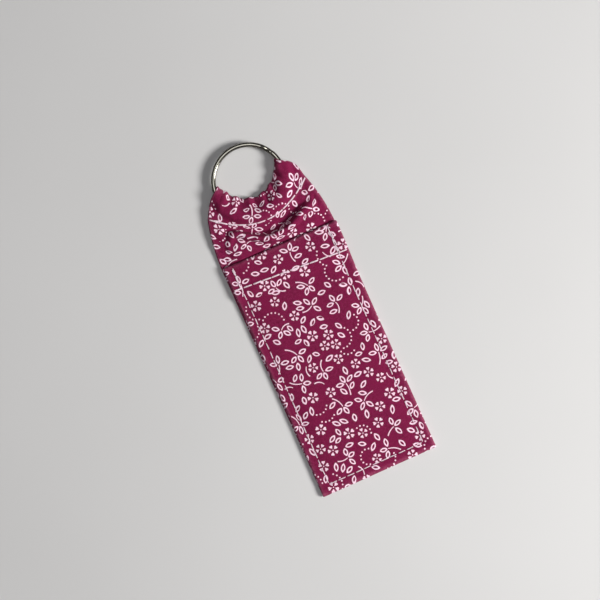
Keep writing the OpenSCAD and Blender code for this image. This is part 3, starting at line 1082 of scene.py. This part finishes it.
def thread():
    """Twisted polyester sewing thread, white with a little of the cloth's pink."""
    n = Nodes("sewing_thread")
    uv = n.add("ShaderNodeUVMap", uv_map="ThreadUV").outputs[0]
    split = n.add("ShaderNodeSeparateXYZ")
    n.wire(uv, split.inputs[0])
    ply = n.math("SINE", n.math("ADD", n.times(split.outputs[0], math.tau / 0.55),
                                n.times(split.outputs[1], math.tau * 2)))
    lint = n.noise(uv, 6.0)
    # painted shade: the thread's colour darkens in the grooves of its twisted plies
    shade = n.mix(n.ramp(ply, -1.0, 0.4), srgb(246, 212, 228), srgb(255, 240, 248))
    n.look("Base Color", n.mix(n.ramp(lint, 0.4, 0.7, 0.0, 0.3), shade, srgb(246, 206, 226)))
    n.look("Roughness", n.ramp(ply, -1.0, 1.0, 0.62, 0.42))
    n.look("Normal", n.bumped(ply, 0.00005, 1.0))
    n.look("Sheen Weight", 0.25)
    return n.material


def nickel():
    """Nickel plate on spring wire: uneven tone, dull specks, and fine scratches along the wire."""
    n = Nodes("nickel_plate")
    uv = n.add("ShaderNodeUVMap", uv_map="RingUV").outputs[0]
    stretch = n.add("ShaderNodeMapping")
    stretch.inputs["Scale"].default_value = (0.12, 6.0, 1.0)
    n.wire(uv, stretch.inputs["Vector"])
    scratch = n.noise(stretch.outputs[0], 3.0, 4.0, 0.7)
    patch = n.noise(uv, 0.45, 3.0)
    place = n.add("ShaderNodeTexCoord").outputs["Object"]
    speck = n.noise(place, 2600.0, 2.0)
    tone = n.mix(n.ramp(patch, 0.3, 0.7), (0.19, 0.182, 0.152, 1), (0.30, 0.287, 0.245, 1))
    tone = n.mix(n.ramp(speck, 0.62, 0.75, 0.0, 0.35), tone, (0.30, 0.28, 0.24, 1))
    n.look("Base Color", tone)
    n.look("Metallic", 1.0)
    rough = n.math("ADD", n.ramp(scratch, 0.3, 0.7, 0.08, 0.18), n.ramp(patch, 0.4, 0.7, 0.0, 0.08))
    n.look("Roughness", rough)
    n.look("Normal", n.bumped(scratch, 0.00001, 0.5))
    return n.material


def pale_floor():
    """A plain matt floor."""
    n = Nodes("pale_floor")
    place = n.add("ShaderNodeTexCoord").outputs["Object"]
    shade = n.noise(place, 6.0, 3.0)
    n.look("Base Color", n.mix(n.ramp(shade, 0.3, 0.7), (0.62, 0.615, 0.61, 1), (0.66, 0.655, 0.65, 1)))
    n.look("Roughness", 0.75)
    return n.material


# ---- stage

def make_stage():
    mesh = bpy.data.meshes.new("floor")
    half, low = 1.5, -0.00003
    corners = [(-half, -half, low), (half, -half, low), (half, half, low), (-half, half, low)]
    mesh.from_pydata(corners, [], [(0, 1, 2, 3)])
    floor = add_object("floor", mesh)
    floor.data.materials.append(pale_floor())


VIEW_TURN = math.radians(-24.15)             # the picture's right, from +X
VIEW_CENTRE = (-0.00083, 0.00363)
VIEW_WIDTH = 0.1974
VIEW_HEIGHT = 0.55


def make_camera():
    data = bpy.data.cameras.new("camera")
    data.sensor_width = 36
    data.lens = 36 * VIEW_HEIGHT / VIEW_WIDTH
    camera = add_object("camera", data)
    camera.location = (*VIEW_CENTRE, VIEW_HEIGHT)
    camera.rotation_euler = (0, 0, VIEW_TURN)
    bpy.context.scene.camera = camera


def add_light(name, toward, distance, size, power, colour):
    """A round soft light. toward is the way to it, in the picture's right, up and out."""
    c, s = math.cos(VIEW_TURN), math.sin(VIEW_TURN)
    right, up = Vector((c, s, 0)), Vector((-s, c, 0))
    way = (right * toward[0] + up * toward[1] + Vector((0, 0, toward[2]))).normalized()
    data = bpy.data.lights.new(name, "AREA")
    data.shape = "DISK"
    data.size, data.energy, data.color = size, power, colour
    light = add_object(name, data)
    light.location = way * distance
    light.rotation_euler = (-way).to_track_quat("-Z", "Y").to_euler()


def make_lights():
    add_light("key", (1.0, -0.12, 0.76), 0.9, 0.34, 10.4, (1.0, 0.99, 0.975))
    world = bpy.data.worlds.new("studio")
    world.use_nodes = True
    tree = world.node_tree
    sky = tree.nodes["Background"]
    place = tree.nodes.new("ShaderNodeTexCoord")
    split = tree.nodes.new("ShaderNodeSeparateXYZ")
    ramp = tree.nodes.new("ShaderNodeValToRGB")
    tree.links.new(place.outputs["Generated"], split.inputs[0])
    tree.links.new(split.outputs[2], ramp.inputs[0])
    tree.links.new(ramp.outputs[0], sky.inputs["Color"])
    stops = [(0.94, (0.07, 0.07, 0.074, 1)), (0.985, (3.6, 3.6, 3.68, 1))]
    for element, (position, colour) in zip(ramp.color_ramp.elements, stops):
        element.position, element.color = position, colour
    sky.inputs["Strength"].default_value = 0.75
    bpy.context.scene.world = world


# ---- putting it together

make_stage()
make_camera()
make_lights()
bpy.context.scene.view_settings.view_transform = "Standard"

strip, strip_at = make_strip()
front, front_at = make_front()
cloth, thread_look, metal = cotton(), thread(), nickel()

LAYOUT_PAD = 6.0
outer_print = Print(2 * HALF_W + 2 * LAYOUT_PAD, strip_at["end"] + front_at["end"] + 2 * LAYOUT_PAD, SEED)
inner_print = Print(2 * HALF_W + 2 * LAYOUT_PAD, strip_at["end"] + 2 * LAYOUT_PAD, SEED + 1)
joint_t = strip_at["end"] + LAYOUT_PAD


def laid(layout, foot, turn=(1, 1)):
    """A layout's motifs in a sheet's flat coordinates. foot is the layout's height where the sheet starts."""
    return [((points - (HALF_W + LAYOUT_PAD, foot)) * turn, ink) for points, ink in layout.motifs]


GROOVE = 0.13                                # how far a seam pulls each side of the cloth in
GROOVE_W = 0.45


def hem_t(s):
    """The hem stitches' line on the front."""
    return front_at["mouth"] - HEM_DROP + HEM_SLOPE * s


def strip_half(s, t):
    rounded = edge_profile(HALF_W - np.abs(s)) * edge_profile(strip_at["end"] - t)
    half = HALF_T * rounded
    side_seam = np.abs(np.abs(s) - SEAM_X) + 4 * np.clip(t - strip_at["mouth"], 0, 9)
    seam = np.minimum.reduce([side_seam, np.abs(t - strip_at["stitch"]), np.abs(t - strip_at["back_stitch"])])
    return half - GROOVE * bump(seam, GROOVE_W) * rounded


def front_half(s, t):
    rounded = edge_profile(HALF_W - np.abs(s)) * edge_profile(front_at["end"] - t)
    back_hem = front_at["mouth"] + HEM_DROP - HEM_SLOPE * s
    seam = np.minimum.reduce([np.abs(np.abs(s) - SEAM_X), t, np.abs(t - hem_t(s)), np.abs(t - back_hem)])
    return (HALF_T - GROOVE * bump(seam, GROOVE_W)) * rounded


# lightens the strip at its edges, folds and casing stitch: faded cotton and a painted highlight
def strip_wear_and_highlight(s, t):
    edge = bump(HALF_W - np.abs(s), 0.7) * 0.8
    folds = 0.7 * bump(t - strip_at["fold"], 0.8) + 0.55 * bump(t - strip_at["top"], 0.9)
    seam = 0.25 * bump(t - strip_at["stitch"], 0.6)
    return np.clip(edge + folds + seam, 0, 1)


# lightens the front at its edges and mouth fold: faded cotton and a painted highlight
def front_wear_and_highlight(s, t):
    return np.clip(bump(HALF_W - np.abs(s), 0.7) * 0.8 + 0.6 * bump(t - front_at["mouth"], 0.8), 0, 1)


def strip_spacing(t):
    if abs(t - strip_at["fold"]) < 1.1:
        return 0.2
    if abs(t - strip_at["top"]) < 1.4:
        return 0.26
    return 0.5 if t > strip_at["mouth"] else 1.3


def front_spacing(t):
    return 0.2 if abs(t - front_at["mouth"]) < 1.1 else 1.3


# close rows of points: (s, step) along a sheet and (t, step, slope) across it
side_rows = [(sign * (HALF_W - d), 0.5) for sign in (-1, 1) for d in (0.05, 0.14, 0.3)]
side_rows += [(sign * (SEAM_X + d), 0.5) for sign in (-1, 1) for d in (-GROOVE_W, 0, GROOVE_W)]
stitch_rows = [(strip_at[key] + d, 0.4, 0) for key in ("stitch", "back_stitch") for d in (-0.4, 0, 0.4)]
hem_rows = [(hem_t(0) + d, 0.45, HEM_SLOPE) for d in (-GROOVE_W, 0, GROOVE_W)]

strip_prints = [laid(inner_print, LAYOUT_PAD), laid(outer_print, joint_t, (1, -1))]
front_prints = [laid(outer_print, joint_t), laid(inner_print, LAYOUT_PAD, (-1, 1))]
strip_piece = cloth_slab("strip_back", strip, (-HALF_W, 0.0), (HALF_W, strip_at["end"]), strip_half,
                         strip_wear_and_highlight, strip_prints, strip_spacing, side_rows, stitch_rows)
front_pieces = [cloth_slab(name, front, (left, 0.0), (right, front_at["end"]), front_half, front_wear_and_highlight,
                           front_prints, front_spacing, side_rows, hem_rows)
                for name, left, right in (("front_left", -HALF_W, 0.0), ("front_right", 0.0, HALF_W))]

ring = make_ring()
ring.data.materials.append(metal)
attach(ring, "ring")
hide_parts("split_ring")

on_front = (front, 1, front_half)            # a sheet, which of its sides, and its half-thickness
on_strip = (strip, 1, strip_half)
under_strip = (strip, -1, strip_half)


def sew(name, body, nodes, place, path, **more):
    """A row of stitches as a piece."""
    piece = stitch_row(name, *place, path, **more)
    piece.data.materials.append(thread_look)
    if body:
        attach(piece, body)
    if nodes:
        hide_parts(*nodes)
    return piece


def across_at(t, half_length):
    return [(-half_length, t), (half_length, t)]


BOTTOM_T = 0.35
FLUSH = 0.0                                  # the rise of a row that lies down in its groove, under the cloth
hem_seams = []
for sign, tag in ((-1, "left"), (1, "right")):
    x = sign * SEAM_X
    sew(f"side_seam_{tag}", "pocket", [f"side_stitch_{tag}"], on_front,
        [(x, BOTTOM_T), (x, front_at["mouth"] - 0.7)], seed=11 + sign)
    sew(f"side_seam_{tag}_back", "pocket", [], under_strip,
        [(x, strip_at["fold"] + 2.6), (x, strip_at["mouth"] - 0.7)], seed=13 + sign, rise=FLUSH)
    top, crossing = front_at["mouth"] - 0.9, hem_t(x)
    sew(f"mouth_tack_{tag}", "pocket", [f"mouth_backtack_{tag}"], on_front,
        [(x + 0.3 * sign, crossing - 0.5), (x + 0.38 * sign, top), (x - 0.1 * sign, top - 0.2),
         (x - 0.25, crossing)], pitch=2.6, seed=15 + sign)
    hem_seams.append(sew(f"hem_seam_{tag}", None, ["hem_stitch", "hem_stitch_ends"], on_front,
                         [(s, hem_t(s)) for s in (0.0, sign * HALF_W * 0.985)],
                         fill=1.0, pitch=3.4, width=0.48, seed=17 + sign))
sew("bottom_seam", "pocket", ["bottom_stitch"], on_front, across_at(BOTTOM_T, SEAM_X), seed=21)
sew("bottom_seam_back", "pocket", [], under_strip, across_at(strip_at["fold"] + 2.9, SEAM_X),
    seed=22, rise=FLUSH)
sew("casing_seam_front", "loop", ["casing_stitch"], on_strip, across_at(strip_at["stitch"], HALF_W * 0.98),
    fill=1.0, pitch=3.2, width=0.50, seed=23)
sew("casing_seam_back", "loop", [], on_strip, across_at(strip_at["back_stitch"], HALF_W * 0.98),
    seed=24, rise=FLUSH)
TACK = [(-1.4, 0.3), (1.4, 0.45), (1.2, -0.25), (-1.2, -0.2), (-1.0, 0.6), (1.0, 0.1)]
for sign, tag in ((-1, "left"), (1, "right")):
    sew(f"casing_tack_{tag}", "loop", [f"casing_backtack_{tag}"], on_strip,
        [(sign * 16.9 + ds, strip_at["stitch"] + dt) for ds, dt in TACK], pitch=2.4, fill=0.9, seed=25 + sign)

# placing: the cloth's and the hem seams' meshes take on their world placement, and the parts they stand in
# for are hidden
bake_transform(strip_piece)
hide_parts("back_print_cloth", "back_interfacing", "back_lining", "bottom_fold", "neck_gather",
            "casing_front", "casing_back", "casing_fold", "casing_seam")
for piece, sign, tag in zip(front_pieces, (-1, 1), ("left", "right")):
    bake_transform(piece)
    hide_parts("front_print_cloth", "front_interfacing", "front_lining", "mouth_hem",
                f"side_margin_{tag}")
for piece, sign in zip(hem_seams, (-1, 1)):
    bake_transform(piece)
